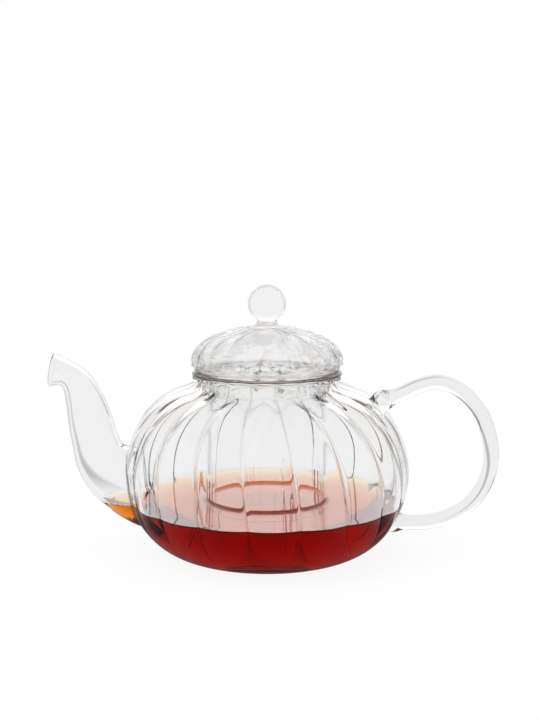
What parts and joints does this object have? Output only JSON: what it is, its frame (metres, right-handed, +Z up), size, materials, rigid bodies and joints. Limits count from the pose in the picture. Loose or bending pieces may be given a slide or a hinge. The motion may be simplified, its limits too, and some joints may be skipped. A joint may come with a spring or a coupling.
{
  "type": "glass teapot",
  "caption": "Ribbed clear glass teapot with a curved spout, a loop handle, a drop-in slotted infuser and a domed lid with a ball knob, part filled with tea.",
  "frame": {"origin": "centre of the flat foot, on the surface that the pot stands on", "axes": "+Z up the pot's axis; spout towards -X; handle towards +X"},
  "size_m": [0.2385, 0.1506, 0.1422],
  "materials": {
    "bowl_glass": "clear blown borosilicate glass with soft ribs",
    "spout_glass": "clear drawn glass tube, fire polished lip",
    "handle_glass": "clear solid glass rod, faint grey green",
    "bead_glass": "clear flame worked glass, uneven",
    "infuser_glass": "clear smooth glass tube with saw cut slits",
    "sleeve_glass": "clear smooth glass tube",
    "dome_glass": "clear blown glass with close ribs",
    "knob_glass": "clear solid glass, flame polished",
    "tea": "clear deep red tea, amber where it is thin"
  },
  "bodies": {
    "pot": {"pot_bowl": "bowl_glass", "spout": "spout_glass", "handle": "handle_glass", "handle_bead_upper": "bead_glass", "handle_bead_lower": "bead_glass", "tea": "tea", "tea_core": "tea"},
    "infuser": {"infuser": "infuser_glass"},
    "lid": {"lid_sleeve": "sleeve_glass", "lid_dome": "dome_glass", "lid_stem": "knob_glass", "lid_knob": "knob_glass"}
  },
  "joints": [
    {"name": "infuser_lift", "type": "slide", "parent": "pot", "child": "infuser", "axis": [0, 0, 1], "range_m": [0, 0.11], "deforming": ["tea_core"]},
    {"name": "lid_lift", "type": "slide", "parent": "infuser", "child": "lid", "axis": [0, 0, 1], "range_m": [0, 0.07]}
  ]
}
